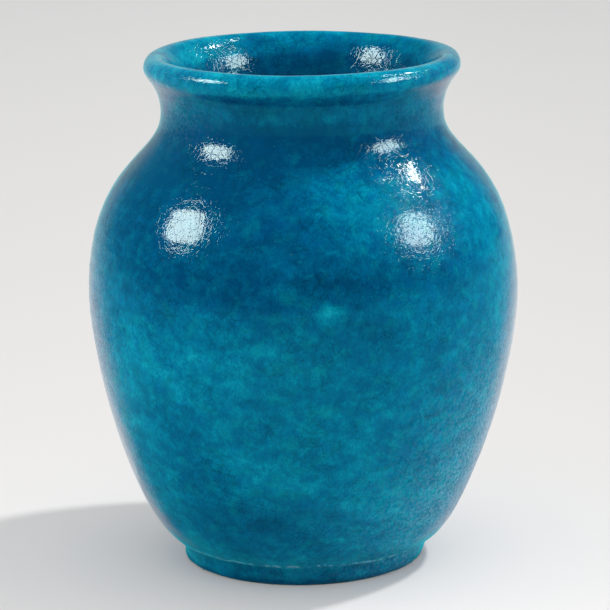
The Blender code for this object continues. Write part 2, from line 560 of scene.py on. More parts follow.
@dataclass(frozen=True)
class Patch:
    """A soft patch on the pot's side, by its azimuth and height.

    width and rise are how far it reaches sideways and upwards. amount is its strength in the middle: how much
    thicker the glaze lies, how grainy it is, or how strongly it ripples.
    """

    azimuth: float
    height: float
    width: float
    rise: float
    amount: float

    def at(self, bench: Bench, axes: list[Number]) -> Number:
        """Draws the patch.

        Args:
            bench: The material's bench.
            axes: The X, Y and Z of a place, in millimetres.

        Returns:
            The patch's strength there.
        """
        x, y, z = axes
        side = compass(self.azimuth, 0.0)
        wide = (x * -side.y + y * side.x) * (MM / self.width)
        high = (z - self.height / MM) * (MM / self.rise)
        spot = bench.calc("POWER", math.e, (wide * wide + high * high) * -1.0)
        near_side = bench.calc("GREATER_THAN", x * side.x + y * side.y, 0.0)
        return spot * near_side * self.amount


class Finish(Bench):
    """The bench of a new material. Its place is where the surface is on its object."""

    def __init__(self, name: str, unit: float = MM) -> None:
        """Makes the material.

        Args:
            name: Its name.
            unit: The length in which the place is read.
        """
        self.material = bpy.data.materials.new(name)
        self.material.use_nodes = True
        super().__init__(self.material.node_tree)
        self.shader = self.tree.nodes["Principled BSDF"]
        self.place = self.vector("SCALE", self.add("ShaderNodeTexCoord").outputs["Object"], 1.0 / unit)

    def cloud(self, cloud: Cloud, place: Optional[Source] = None) -> Number:
        """Reads a cloud.

        Args:
            cloud: The cloud.
            place: Where it is read, or None for the place on the object.

        Returns:
            The noise, put through the cloud's ramp where it has one.
        """
        flowed = self.vector("MULTIPLY", place or self.place, (1.0, 1.0, cloud.flow))
        inputs = {"Scale": 1.0 / cloud.width, "Detail": cloud.detail, "Roughness": cloud.roughness}
        inputs["Vector"] = self.vector("ADD", flowed, cloud.offset)
        soft = self.read("ShaderNodeTexNoise", "Fac", inputs)
        return self.ramp(soft, cloud.ramp) if cloud.ramp else soft

    def patched(self, patches: tuple[Patch, ...], place: Optional[Source] = None) -> Source:
        """The strength of patches at a place, or on the object for None. It is a plain 0 where there are none."""
        axes = self.split(place or self.place) if patches else []
        return sum((patch.at(self, axes) for patch in patches), 0.0)

    def bump(self, height: Number) -> Socket:
        """The normal that a height in millimetres bends."""
        inputs = {"Height": height * MM, "Strength": 1.0, "Distance": 1.0}
        return self.add("ShaderNodeBump", inputs).outputs["Normal"]


@dataclass(frozen=True)
class CrackNet:
    """A net of crackle, with the widths of its cells and its lines in millimetres."""

    cell: float
    line: float
    strength: float

    def at(self, bench: Bench, place: Source) -> Number:
        """Draws the net at a place in millimetres: its strength on a line, and 0 in a cell."""
        edge = bench.cells(place, self.cell, feature="DISTANCE_TO_EDGE")["Distance"]
        return bench.ramp(edge, Ramp(0.0, self.line / self.cell, self.strength, 0.0))


@dataclass(frozen=True)
class Dots:
    """Small round dots, at most one in each cell, with lengths in millimetres.

    cell is the distance from one dot to the next, radius the largest dot's, empty the share of the cells that have
    none, and offset keeps two kinds of dot from sharing their cells. soft is the share of a dot that is its edge.
    """

    cell: float
    radius: float
    empty: float
    offset: float
    soft: float = 0.35

    def at(self, bench: Finish) -> Number:
        """Draws the dots.

        Args:
            bench: The material's bench.

        Returns:
            A number that is 1 in a dot.
        """
        cells = bench.cells(bench.vector("ADD", bench.place, (self.offset, 0.0, self.offset)), self.cell)
        chance = bench.read("ShaderNodeSeparateColor", "Red", {"Color": cells["Color"]})
        reach = self.radius / self.cell
        size = bench.ramp(chance, Ramp(self.empty, 1.0, 0.0, reach))
        return bench.ramp(size - cells["Distance"], Ramp(0.0, self.soft * reach))


@dataclass(frozen=True)
class CrackleGlaze:
    """Turquoise copper glaze over buff clay: patches, crackle, pinholes, pale specks, a chalky film and painted
    sheen.

    Its patterns are in millimetres. The shares of its shades grow with its thickness, from 0 to 1, which bands
    gives by the share of the pot's height. The streak and the pool lie along the foot's joint, and a name with _in_
    says how much more of the first there is in the second.
    """

    name: str = "turquoise_crackle_glaze"
    thin: Colour = (0.004, 0.335, 0.455, 1.0)
    turquoise: Colour = (0.0, 0.186, 0.315, 1.0)
    teal: Colour = (0.0, 0.098, 0.214, 1.0)
    deep: Colour = (0.0, 0.050, 0.140, 1.0)
    turquoise_share: Ramp = Ramp(0.0, 0.36)
    teal_share: Ramp = Ramp(0.26, 0.62)
    deep_share: Ramp = Ramp(0.52, 0.95)
    copper_green: Colour = (0.002, 0.240, 0.255, 1.0)
    green_cloud: Cloud = Cloud(6.0, 3.0, 0.5, (3.0, 91.0, 17.0), Ramp(0.48, 0.70, 0.0, 0.30))
    cobalt: Colour = (0.0, 0.095, 0.270, 1.0)
    cobalt_cloud: Cloud = Cloud(7.0, 3.0, 0.5, (63.0, 9.0, 37.0), Ramp(0.48, 0.68, 0.0, 0.38))
    tinge_share: Ramp = Ramp(0.4, 1.0, 1.0, 0.35)
    # Pale colour where the glaze is grainy: partly a chalky film, partly a painted sheen.
    bloom_and_sheen: Colour = (0.290, 0.400, 0.580, 1.0)
    bloom_and_sheen_cloud: Cloud = Cloud(1.6, 2.0, 0.7, (6.0, 31.0, 14.0), Ramp(0.36, 0.68, 0.0, 0.42))
    bloom_in_streak: float = 0.50

    mottle: float = 1.0
    mottling: tuple[Cloud, ...] = (
        Cloud(40.0, 1.0, 0.5, (0.0, 7.0, 0.0), Ramp(0.25, 0.75, -0.05, 0.05), 1.7),
        Cloud(17.0, 1.0, 0.5, (31.0, 7.0, 15.5), Ramp(0.25, 0.75, -0.085, 0.085), 1.7),
        Cloud(7.0, 2.0, 0.5, (57.0, 7.0, 28.5), Ramp(0.25, 0.75, -0.12, 0.12), 1.3),
        Cloud(2.6, 1.0, 0.5, (11.0, 7.0, 5.5), Ramp(0.25, 0.75, -0.06, 0.06), 0.8),
        Cloud(0.95, 0.0, 0.5, (83.0, 7.0, 41.5), Ramp(0.25, 0.75, -0.0625, 0.0625), 0.7),
    )
    bands: Pairs = ((0.0, 0.0), (1.0, 0.0))
    patches: tuple[Patch, ...] = ()
    grain: tuple[Patch, ...] = ()
    ripples: tuple[Patch, ...] = ()
    push_width: float = 11.0
    push: float = 5.0
    streak_edge: Ramp = Ramp(0.3, 1.6, 1.0, 0.0)
    streak_cloud: Cloud = Cloud(3.6, 3.0, 0.6, ramp=Ramp(0.44, 0.60))
    thinner_in_streak: float = 0.60
    pool: Ramp = Ramp(-2.5, 0.4, 0.12, 0.0)

    nets: tuple[CrackNet, CrackNet] = (CrackNet(4.4, 0.26, 1.0), CrackNet(2.6, 0.20, 0.45))
    net_push_width: float = 1.8
    net_push: float = 0.7
    net_cloud: Cloud = Cloud(18.0, 2.0, 0.5, (77.0, 5.0, 1.0), Ramp(0.40, 0.66, 0.06, 0.46))
    pinhole: Colour = (0.0, 0.012, 0.030, 1.0)
    holes: Dots = Dots(4.4, 0.44, 0.44, 3.0)
    hole_strength: float = 0.75
    speck: Colour = (0.030, 0.400, 0.450, 1.0)
    specks: Dots = Dots(3.4, 0.34, 0.55, 41.0)
    speck_strength: float = 0.34

    index: float = 1.48
    tint: Colour = (0.60, 0.93, 1.0, 1.0)
    gloss: float = 0.035
    gloss_cloud: Cloud = Cloud(6.0, 3.0)
    gloss_spread: float = 0.03
    gloss_in_grain: float = 0.16
    peel_cloud: Cloud = Cloud(1.9, 0.5, 0.5, (13.0, 0.0, 4.0))
    peel: float = 0.016
    peel_in_grain: float = 0.14
    peel_in_ripples: float = 0.11
    wave_cloud: Cloud = Cloud(4.2, 1.0, 0.5, (1.0, 6.0, 40.0))
    wave: float = 0.034
    pit_cloud: Cloud = Cloud(0.9, 0.0, 0.5, (8.0, 23.0, 5.0), Ramp(0.60, 0.76))
    pit: float = 0.020
    pit_in_grain: float = 0.15
    groove: float = 0.012
    groove_in_ripples: float = 0.05
    hole_depth: float = 0.12

    def material(self, top: float, joint: float = 0.0, seam: Optional[JointLine] = None) -> bpy.types.Material:
        """Mixes the glaze.

        Args:
            top: The height of the pot.
            joint: The level of the foot's joint.
            seam: That joint, or None where the coat doesn't cross it.

        Returns:
            The material.
        """
        bench = Finish(self.name)
        streak, pool = self.seam_marks(bench, joint, seam) if seam else (0.0, 0.0)
        grain = bench.patched(self.grain)
        cracks, holes = self.cracks(bench), self.holes.at(bench)
        colour = self.colour(bench, top, pool - streak * self.thinner_in_streak)
        colour = bench.blend(cracks * bench.cloud(self.net_cloud), colour, self.pinhole)
        colour = bench.blend(self.specks.at(bench) * self.speck_strength, colour, self.speck)
        colour = bench.blend(holes * self.hole_strength, colour, self.pinhole)
        # Grainy patches go paler: partly a chalky film, partly a painted sheen of the pale floor.
        dust_and_sheen = bench.cloud(self.bloom_and_sheen_cloud) * grain
        milky_and_sheen = bench.calc("ADD", dust_and_sheen, streak * self.bloom_in_streak, clamp=True)
        uneven = bench.cloud(self.gloss_cloud) * self.gloss_spread + self.gloss
        inputs = {"IOR": self.index, "Specular Tint": self.tint, "Roughness": uneven + grain * self.gloss_in_grain}
        inputs["Base Color"] = bench.blend(milky_and_sheen, colour, self.bloom_and_sheen)
        inputs["Normal"] = self.relief(bench, cracks, holes, grain)
        bench.feed_all(bench.shader, inputs)
        return bench.material

    def seam_marks(self, bench: Finish, joint: float, seam: JointLine) -> tuple[Number, Number]:
        """The broken pale streak along the foot's joint, and the deeper glaze that pooled under it.

        Args:
            bench: The material's bench.
            joint: The level of the joint.
            seam: The joint.

        Returns:
            A number that is 1 in the streak, and how much thicker the glaze lies in the pool.
        """
        x, y, z = bench.split(bench.place)
        turn = bench.calc("ARCTAN2", y, x)
        above = z - joint / MM
        for count, height, phase in seam.harmonics:
            above -= bench.calc("SINE", turn * float(count) + phase) * (height / MM)
        line = bench.ramp(bench.calc("ABSOLUTE", above - seam.bead_rise / MM), self.streak_edge)
        return line * bench.cloud(self.streak_cloud), bench.ramp(above, self.pool)

    def colour(self, bench: Finish, top: float, at_seam: Source) -> Socket:
        """Colours the glaze by how thick it lies, with a tinge of green and of blue.

        Args:
            bench: The material's bench.
            top: The height of the pot.
            at_seam: How much thicker it lies at the foot's joint.

        Returns:
            The colour.
        """
        pushed = bench.pushed(bench.place, self.push_width, self.push)
        share = bench.calc("DIVIDE", bench.split(pushed)[2], top / MM, clamp=True)
        bands = bench.add("ShaderNodeFloatCurve", {"Value": share})
        line = bands.mapping.curves[0]
        line.points[0].location, line.points[1].location = self.bands[0], self.bands[-1]
        for level, value in self.bands[1:-1]:
            line.points.new(level, value)
        bands.mapping.update()
        mottling = sum(bench.cloud(cloud, pushed) for cloud in self.mottling) * self.mottle
        thickness = mottling + bands.outputs["Value"] + bench.patched(self.patches, pushed)
        depth = bench.calc("ADD", thickness, at_seam, clamp=True)
        shares = [bench.ramp(depth, share) for share in (self.turquoise_share, self.teal_share, self.deep_share)]
        strength = bench.ramp(depth, self.tinge_share) * self.mottle
        shares += [bench.cloud(cloud, pushed) * strength for cloud in (self.green_cloud, self.cobalt_cloud)]
        colour: Source = self.thin
        for share, over in zip(shares, (self.turquoise, self.teal, self.deep, self.copper_green, self.cobalt)):
            colour = bench.blend(share, colour, over)
        return colour

    def cracks(self, bench: Finish) -> Number:
        """The two nets of crackle, as a number that is 1 on a crack."""
        bent = bench.pushed(bench.place, self.net_push_width, self.net_push)
        return bench.calc("MAXIMUM", *(net.at(bench, bent) for net in self.nets))

    def relief(self, bench: Finish, cracks: Number, holes: Number, grain: Source) -> Socket:
        """The skin of the glaze: fine orange peel, broader waves, pits, the crackle's grooves and the pinholes.

        Args:
            bench: The material's bench.
            cracks: The lines of the crackle.
            holes: The pinholes.
            grain: Where the skin is rough.

        Returns:
            The bent normal.
        """
        rippled = bench.patched(self.ripples)
        peel, waves, pits = (bench.cloud(cloud) for cloud in (self.peel_cloud, self.wave_cloud, self.pit_cloud))
        height = peel * (self.peel + grain * self.peel_in_grain + rippled * self.peel_in_ripples)
        height += waves * self.wave
        height -= pits * (self.pit + grain * self.pit_in_grain)
        height -= cracks * (self.groove + rippled * self.groove_in_ripples)
        return bench.bump(height - holes * self.hole_depth)


@dataclass(frozen=True)
class BuffClay:
    """Unglazed buff faience clay, with sandy grain and fine turning lines.

    darkened_beyond is the distance from the axis, in metres, beyond which glaze has run down and stained it
    near-black;
    the dark rim is partly painted shade at the standing edge. Patterns are in millimetres, turning in radians for
    each.
    """

    name: str = "buff_faience_clay"
    pale: Colour = (0.600, 0.455, 0.310, 1.0)
    dark: Colour = (0.360, 0.240, 0.150, 1.0)
    stain: Colour = (0.060, 0.240, 0.260, 1.0)
    # Near-black rim colour: glaze run down, and partly painted shade at the standing edge.
    run_down_and_shade: Colour = (0.004, 0.050, 0.075, 1.0)
    roughness: float = 0.86
    dark_cloud: Cloud = Cloud(9.0, 3.0, ramp=Ramp(0.35, 0.68, 0.0, 0.5))
    sand_cloud: Cloud = Cloud(0.7, 2.0, 0.7, ramp=Ramp(0.52, 0.72, 0.0, 0.7))
    sand_strength: float = 0.6
    sand_height: float = 0.05
    stain_cloud: Cloud = Cloud(7.0, 2.0, 0.5, (9.0, 2.0, 5.0), Ramp(0.52, 0.70, 0.0, 0.6))
    turning: float = 5.2
    turning_height: float = 0.012
    darkened_beyond: float = 1.0
    darkened_edge: float = 1.5

    def material(self) -> bpy.types.Material:
        """Mixes the clay.

        Returns:
            The material.
        """
        bench = Finish(self.name)
        x, y, z = bench.split(bench.place)
        radius = bench.measure("LENGTH", bench.add("ShaderNodeCombineXYZ", {"X": x, "Y": y}).outputs["Vector"])
        sand = bench.cloud(self.sand_cloud)
        rim = self.darkened_beyond / MM
        colour: Source = self.pale
        for share, over in (
            (bench.cloud(self.dark_cloud), self.dark),
            (sand * self.sand_strength, self.dark),
            (bench.cloud(self.stain_cloud), self.stain),
            # The dark rim past darkened_beyond is partly painted shade at the standing edge.
            (bench.ramp(radius, Ramp(rim - self.darkened_edge, rim)), self.run_down_and_shade),
        ):
            colour = bench.blend(share, colour, over)
        spiral = bench.calc("SINE", (radius + z) * self.turning)
        normal = bench.bump(spiral * self.turning_height + sand * self.sand_height)
        bench.feed_all(bench.shader, {"Base Color": colour, "Roughness": self.roughness, "Normal": normal})
        return bench.material


@dataclass
class TurnedPiece:
    """A piece of the pot that was turned about its axis.

    columns is how many facets go round the axis, and spacings gives the step along the outline from each height
    up. lines, swells, marks and the seam at the level joint shape the side that shows, and fade out at its ends.
    """

    name: str
    node: Node
    columns: int
    spacings: Pairs
    fade: float = 3.0 * MM
    lines: Optional[ThrowingLines] = None
    swells: tuple[Swell, ...] = ()
    marks: tuple[HandMark, ...] = ()
    seam: Optional[JointLine] = None
    joint: float = 0.0
    sharp: float = math.radians(55.0)

    SLOT = Slot.CLAY

    def turns(self) -> np.ndarray:
        """The angle of each column, in radians."""
        return np.arange(self.columns) * math.tau / self.columns

    def relief(self, line: Outline) -> np.ndarray:
        """How far each point of the side stands out from the plain turned shape.

        Args:
            line: The side's outline.

        Returns:
            An array with a row for each point of the outline and a column for each angle.
        """
        along, last = line.along(), line.along()[-1]
        held = eased(along, 0.0, self.fade) * eased(last - along, 0.0, self.fade)
        out = np.zeros((len(along), self.columns))
        for column, turn in enumerate(self.turns()):
            heading = Vector((math.cos(turn), math.sin(turn), 0.0))
            for row, (radius, height) in enumerate(line.points):
                place = heading * radius
                place.z = height
                stand = sum(swell.at(place) for swell in self.swells)
                stand += sum(mark.at(place, radius) for mark in self.marks)
                if self.lines:
                    stand += self.lines.at(place, along[row], turn)
                stand *= held[row]
                if self.seam and height < self.joint + self.seam.REACH_IN_RISES * self.seam.bead_rise:
                    stand += self.seam.at(height - self.joint, turn)
                out[row, column] = stand
        return out

    def mesh(self, rings: np.ndarray, closed: bool) -> bpy.types.Mesh:
        """Joins rings of points into one closed skin.

        Args:
            rings: Points by ring, by column and by axis. Where closed is false, the first and last ring are a
                single point on the axis.
            closed: True where the last ring joins the first one.

        Returns:
            The mesh, with its faces pointing out.
        """
        count, columns = rings.shape[:2]
        here = np.arange(columns)
        there = (here + 1) % columns
        faces: list[tuple[int, ...]] = []
        for below in range(count if closed else count - 1):
            above = (below + 1) % count
            low, high = below * columns, above * columns
            quads = np.column_stack((low + here, low + there, high + there, high + here))
            if not closed and below == 0:
                faces += [(low, c, d) for _, _, c, d in quads.tolist()]
            elif not closed and above == count - 1:
                faces += [(a, b, high) for a, b, _, _ in quads.tolist()]
            else:
                faces += [tuple(quad) for quad in quads.tolist()]
        mesh = bpy.data.meshes.new(self.name)
        mesh.from_pydata(rings.reshape(-1, 3).tolist(), [], faces)
        work = bmesh.new()
        work.from_mesh(mesh)
        bmesh.ops.delete(work, geom=[vertex for vertex in work.verts if not vertex.link_faces], context="VERTS")
        if work.calc_volume(signed=True) < 0:
            bmesh.ops.reverse_faces(work, faces=work.faces)
        work.to_mesh(mesh)
        work.free()
        mesh.shade_smooth()
        mesh.set_sharp_from_angle(angle=self.sharp)
        return mesh

    def turned(self, line: np.ndarray, normals: np.ndarray, stand: np.ndarray) -> np.ndarray:
        """Turns an outline about the axis, which leans a little to the right, as the pot came off the wheel.

        Args:
            line: Radius and height of each point.
            normals: The normal at each point, along which it stands out.
            stand: How far it stands out, by point and by column.

        Returns:
            Points by ring, by column and by axis.
        """
        turns = self.turns()
        radius, height = (line[:, axis][:, None] + normals[:, axis][:, None] * stand for axis in (0, 1))
        return np.stack((radius * np.cos(turns) + LEAN * height, radius * np.sin(turns), height), axis=-1)

    def place(self, mesh: bpy.types.Mesh, material: bpy.types.Material) -> bpy.types.Object:
        """Puts the piece in the scene in its node's place.

        Args:
            mesh: The piece's mesh.
            material: Its finish.

        Returns:
            The piece.
        """
        mesh.materials.append(material)
        piece = placed(self.name, mesh)
        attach(piece, BODY)
        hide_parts(self.node.value)
        return piece


@dataclass
class GlazeSkin(TurnedPiece):
    """A coat of glaze: the side that shows, the side on the clay, and a rounded bead at each edge.

    hem is how far the lower edge wanders up and down, which is lost hem_reach above it. back_step is the step along
    the side on the clay.
    """

    hem: float = 0.0
    hem_reach: float = 5.0 * MM
    back_step: float = 5.0 * MM

    SLOT = Slot.GLAZE
    BEAD_STEPS = 4
    HEM_WAVES = ((5.0, 1.0), (14.0, 0.5))

    def build(self, frame: dict, material: bpy.types.Material) -> bpy.types.Object:
        """Builds and dresses the coat.

        Args:
            frame: The loaded frame.
            material: The glaze.

        Returns:
            The piece.
        """
        outline = Outline.of_node(frame, self.node)
        open_ended = bool(outline.points[0, 0] < Outline.SEAM_WIDTH)
        clay = np.vstack([Outline.of_node(frame, node).points for node in (Node.BODY, Node.FOOT_RING)])
        sides = sorted(outline.runs(), key=lambda run: run.along()[-1])[-2:]
        back, front = sorted(sides, key=lambda side: side.clearance(clay))
        front = front.smooth(self.spacings)
        middle = len(front.points) // 2
        away = back.points[np.linalg.norm(back.points - front.points[middle], axis=1).argmin()]
        if np.dot(front.normals()[middle], front.points[middle] - away) < 0:
            front = front.reverse()
        back = back.smooth(((-1.0, self.back_step),))
        gaps = [float(np.linalg.norm(front.points[0] - back.points[end])) for end in (0, -1)]
        if gaps[0] > gaps[1]:
            back = back.reverse()
        return self.place(self.closed_skin(front, back, open_ended), material)

    def closed_skin(self, front: Outline, back: Outline, open_ended: bool) -> bpy.types.Mesh:
        """Makes the coat's mesh.

        Args:
            front: The side that shows, run so that its normals point out.
            back: The side on the clay, run the same way.
            open_ended: True where both sides reach the axis.

        Returns:
            The mesh.
        """
        half = float(np.linalg.norm(front.points - back.points[:1], axis=1).min()) / 2
        start_axis = open_ended and front.points[0, 0] < Outline.SEAM_WIDTH
        end_axis = open_ended and not start_axis
        trim = (0.0 if start_axis else half, 0.0 if end_axis else half)
        front, back = front.trimmed(*trim), back.trimmed(*trim)
        stand = self.relief(front)
        shown = self.turned(front.points, front.normals(), stand)
        hidden = self.turned(back.points, back.normals(), np.zeros((len(back.points), self.columns)))
        parts = [shown]
        if not end_axis:
            parts.append(self.bead(front, back, -1, stand[-1]))
        parts.append(hidden[::-1])
        if not start_axis:
            parts.append(self.bead(front, back, 0, stand[0])[::-1])
        rings = np.concatenate(parts)
        if end_axis:
            rings = np.roll(rings, -len(shown), axis=0)
        self.shift_hem(rings)
        return self.mesh(rings, not open_ended)

    def bead(self, front: Outline, back: Outline, end: int, stand: np.ndarray) -> np.ndarray:
        """The rounded edge between the two sides.

        Args:
            front: The side that shows.
            back: The side on the clay.
            end: 0 for the edge at the start of the outline, and -1 for the one at its end.
            stand: How far the side that shows stands out at the edge, by column.

        Returns:
            The bead's rings, from the front to the back.
        """
        inner = 1 if end == 0 else -2
        outward = front.points[end] - front.points[inner]
        outward /= np.linalg.norm(outward)
        middle = (front.points[end] + back.points[end]) / 2
        arm = (front.points[end] - back.points[end]) / 2
        reach = np.linalg.norm(arm)
        angles = np.linspace(0.0, math.pi, self.BEAD_STEPS + 2)[1:-1]
        line = np.array([middle + arm * math.cos(a) + outward * reach * math.sin(a) for a in angles])
        shares = (1 + np.cos(angles)) / 2
        normals = np.tile(arm / reach, (len(line), 1))
        return self.turned(line, normals, shares[:, None] * stand[None])

    def shift_hem(self, rings: np.ndarray) -> None:
        """Lets the lower edge wander up and down.

        Args:
            rings: The coat's points, which are moved in place.
        """
        if not self.hem:
            return
        lowest = rings[..., 2].min()
        for column, turn in enumerate(self.turns()):
            heading = Vector((math.cos(turn), math.sin(turn), 0.0))
            wander = self.hem * sum(share * noise.noise(heading * count) for count, share in self.HEM_WAVES)
            heights = rings[:, column, 2]
            heights += wander * (1.0 - eased(heights - lowest, 0.0, self.hem_reach))


@dataclass
class ClayPiece(TurnedPiece):
    """A piece of clay: its outline is drawn finer between its corners, and turned."""

    def build(self, frame: dict, material: bpy.types.Material) -> bpy.types.Object:
        """Builds and dresses the clay.

        Args:
            frame: The loaded frame.
            material: The clay.

        Returns:
            The piece.
        """
        outline = Outline.of_node(frame, self.node)
        closed = bool(np.allclose(outline.points[0], outline.points[-1]))
        runs = [run.smooth(self.spacings) for run in outline.runs()]
        rings = np.concatenate([self.turned(run.points, run.normals(), self.relief(run))[:-1] for run in runs])
        if not closed:
            height = outline.points[-1, 1]
            rings = np.concatenate((rings, np.tile((LEAN * height, 0.0, height), (1, self.columns, 1))))
        rings[..., 2] = np.maximum(rings[..., 2], outline.points[:, 1].min())
        return self.place(self.mesh(rings, closed), material)


@dataclass(frozen=True)
class Softbox:
    """A round lamp with a diffusing front, aimed at the pot.

    light is the radiance of its front for what it lights, and glare the radiance that its reflection shows. The
    glare is warm, because the copper glaze takes the red out of what it mirrors head on.
    """

    name: str
    azimuth: float
    elevation: float
    distance: float
    size: float
    light: float
    glare: float
    shadow: bool = True

    GLARE_STEP = 0.01
    GLARE_COLOUR = (0.80, 0.69, 0.61)

    def build(self, aim: Vector, pot: bpy.types.Collection, lit: Optional[bpy.types.Collection]) -> None:
        """Hangs the lamp, as one that lights and, a step nearer, one that only shows in the glaze.

        Args:
            aim: The point that it faces.
            pot: The pieces of the pot, in which it shows.
            lit: What it lights, or None where it lights everything.
        """
        way = compass(self.azimuth, self.elevation)
        front = math.pi * self.size**2 / 4
        for radiance, glares, reached in ((self.light, False, lit), (self.glare, True, pot)):
            if not radiance:
                continue
            lamp = bpy.data.lights.new(f"{self.name}_{'glare' if glares else 'light'}", "AREA")
            lamp.shape = "DISK"
            lamp.use_shadow = self.shadow
            lamp.size = self.size
            lamp.energy = radiance * math.pi * front
            lamp.color = self.GLARE_COLOUR if glares else (1.0, 1.0, 1.0)
            holder = placed(lamp.name, lamp)
            holder.location = aim + way * (self.distance - self.GLARE_STEP * glares)
            holder.rotation_mode = "QUATERNION"
            holder.rotation_quaternion = (-way).to_track_quat("-Z", "Y")
            holder.visible_camera = False
            holder.visible_glossy, holder.visible_diffuse = glares, not glares
            if reached:
                holder.light_linking.receiver_collection = reached


@dataclass
class Studio:
    """The pale floor, the room's light, the lamps and the camera.

    In the glaze, floor and room show in cyan. Past the pot's outermost edge, which mirrors what lies behind it at a
    low angle, they are paler. Lengths are in metres, and a cone's limits are cosines.
    """

    aim_height: float = 0.1203
    camera_distance: float = 1.56
    camera_elevation: float = 13.12
    camera_lens: float = 196.0
    camera_shift: float = 0.0078
    camera_roll: float = -0.0145

    floor_radius: float = 9.0
    floor_sides: int = 96
    floor_roughness: float = 0.9
    floor_gloss: float = 0.1
    floor_near: Colour = (0.832, 0.812, 0.799, 1.0)
    # floor_far and right_shade darken the floor as painted shade.
    floor_far: Colour = (0.72, 0.715, 0.71, 1.0)
    near_reach: float = 0.12
    far_reach: float = 2.0
    right_shade: Ramp = Ramp(-0.05, 0.30, 1.0, 0.94)

    floor_mirrored: Colour = (0.05, 0.78, 0.82, 1.0)
    floor_past_edge: Colour = (0.90, 0.87, 0.86, 1.0)
    floor_past_edge_far: Colour = (0.42, 0.74, 0.74, 1.0)
    edge_corner: tuple[float, float] = (0.065, -0.030)
    edge_turn: Ramp = Ramp(math.radians(31.0), math.radians(64.0))
    edge_clear_of_foot: Ramp = Ramp(0.060, 0.085)
    edge_far: Ramp = Ramp(0.35, 1.40)

    room_mirrored: Colour = (0.03, 0.56, 0.60, 1.0)
    room_past_edge: Colour = (0.66, 0.84, 0.76, 1.0)
    past_edge_elevation: float = -13.12
    past_edge_cone: Ramp = Ramp(0.66, 0.94)
    front_to_back: Ramp = Ramp(-0.35, 0.55, 0.52, 0.60)
    ceiling_elevation: float = 62.0
    ceiling_cone: Ramp = Ramp(0.62, 0.94)
    ceiling_light: float = 0.85

    pot_lamps: tuple[Softbox, ...] = (
        Softbox("left_softbox", -75.0, 34.0, 0.90, 0.35, 15.0, 26.0),
        Softbox("right_softbox", 71.0, 29.0, 0.90, 0.33, 12.0, 22.0),
        Softbox("side_lamp", 106.0, 47.0, 0.87, 0.10, 28.0, 76.0),
    )
    key_lamp: Softbox = Softbox("key_lamp", 104.0, 57.7, 6.0, 0.497, 250.0, 50.0)
    floor_lamp: Softbox = Softbox("floor_lamp", -6.0, 45.0, 0.50, 0.34, 3.0, 0.0, False)

    BEHIND = 180.0

    def build(self, pot: bpy.types.Collection) -> None:
        """Sets up everything round the pot.

        Args:
            pot: The pieces of the pot.
        """
        bpy.context.scene.view_settings.view_transform = "Standard"
        ground = bpy.data.collections.new("ground")
        ground.objects.link(self.lay_floor())
        self.light_room()
        aim = Vector((0.0, 0.0, self.aim_height))
        for lamp in self.pot_lamps:
            lamp.build(aim, pot, pot)
        self.key_lamp.build(aim, pot, None)
        self.floor_lamp.build(Vector(), pot, ground)
        self.stand_camera(aim)

    def lay_floor(self) -> bpy.types.Object:
        """Lays a round floor.

        Returns:
            The floor.
        """
        bench = Finish("pale_floor", 1.0)
        colour = bench.mirrored(self.floor_colour_and_shade(bench), self.floor_in_glaze(bench))
        shine = {"Roughness": self.floor_roughness, "Specular IOR Level": self.floor_gloss}
        bench.feed_all(bench.shader, {"Base Color": colour, **shine})
        turns = [math.tau * side / self.floor_sides for side in range(self.floor_sides)]
        rim = [(self.floor_radius * math.cos(turn), self.floor_radius * math.sin(turn), 0.0) for turn in turns]
        mesh = bpy.data.meshes.new("floor")
        mesh.from_pydata(rim, [], [tuple(range(self.floor_sides))])
        mesh.materials.append(bench.material)
        floor = placed("floor", mesh)
        return floor

    def floor_colour_and_shade(self, bench: Finish) -> Socket:
        """The floor's colour, with painted shade that makes it a little darker far from the pot and towards the
        right.

        Args:
            bench: The material's bench.

        Returns:
            The colour.
        """
        away = bench.measure("LENGTH", bench.place)
        share = bench.calc("DIVIDE", away - self.near_reach, self.far_reach - self.near_reach, clamp=True)
        shade = bench.ramp(bench.split(bench.place)[0], self.right_shade)
        return bench.vector("SCALE", bench.blend(share, self.floor_near, self.floor_far), shade)

    def floor_in_glaze(self, bench: Finish) -> Socket:
        """The colour of the floor in the glaze, which is pale past a corner on either side of the foot.

        Args:
            bench: The material's bench.

        Returns:
            The colour.
        """
        away = bench.measure("LENGTH", bench.place)
        x, y, _ = bench.split(bench.place)
        sideways, behind = self.edge_corner
        turn = bench.calc("ARCTAN2", y - behind, bench.calc("ABSOLUTE", x) - sideways)
        past = bench.blend(bench.ramp(away, self.edge_far), self.floor_past_edge, self.floor_past_edge_far)
        share = bench.ramp(turn, self.edge_turn) * bench.ramp(away, self.edge_clear_of_foot)
        return bench.blend(share, self.floor_mirrored, past)

    def light_room(self) -> None:
        """Lights the room: dim on the camera's side, pale behind the pot, palest overhead and a little behind."""
        world = bpy.data.worlds.new("studio_room")
        bpy.context.scene.world = world
        world.use_nodes = True
        bench = Bench(world.node_tree)
        way = bench.add("ShaderNodeTexCoord").outputs["Generated"]
        walls = bench.ramp(bench.split(way)[1], self.front_to_back)
        overhead = bench.measure("DOT_PRODUCT", way, compass(self.BEHIND, self.ceiling_elevation))
        ceiling = bench.ramp(overhead, self.ceiling_cone)
        onward = bench.measure("DOT_PRODUCT", way, compass(self.BEHIND, self.past_edge_elevation))
        shown = bench.blend(bench.ramp(onward, self.past_edge_cone), self.room_mirrored, self.room_past_edge)
        light = {"Strength": walls * bench.calc("SUBTRACT", 1.0, ceiling) + ceiling * self.ceiling_light}
        white = (1.0, 1.0, 1.0, 1.0)
        bench.feed_all(world.node_tree.nodes["Background"], {"Color": bench.mirrored(white, shown), **light})

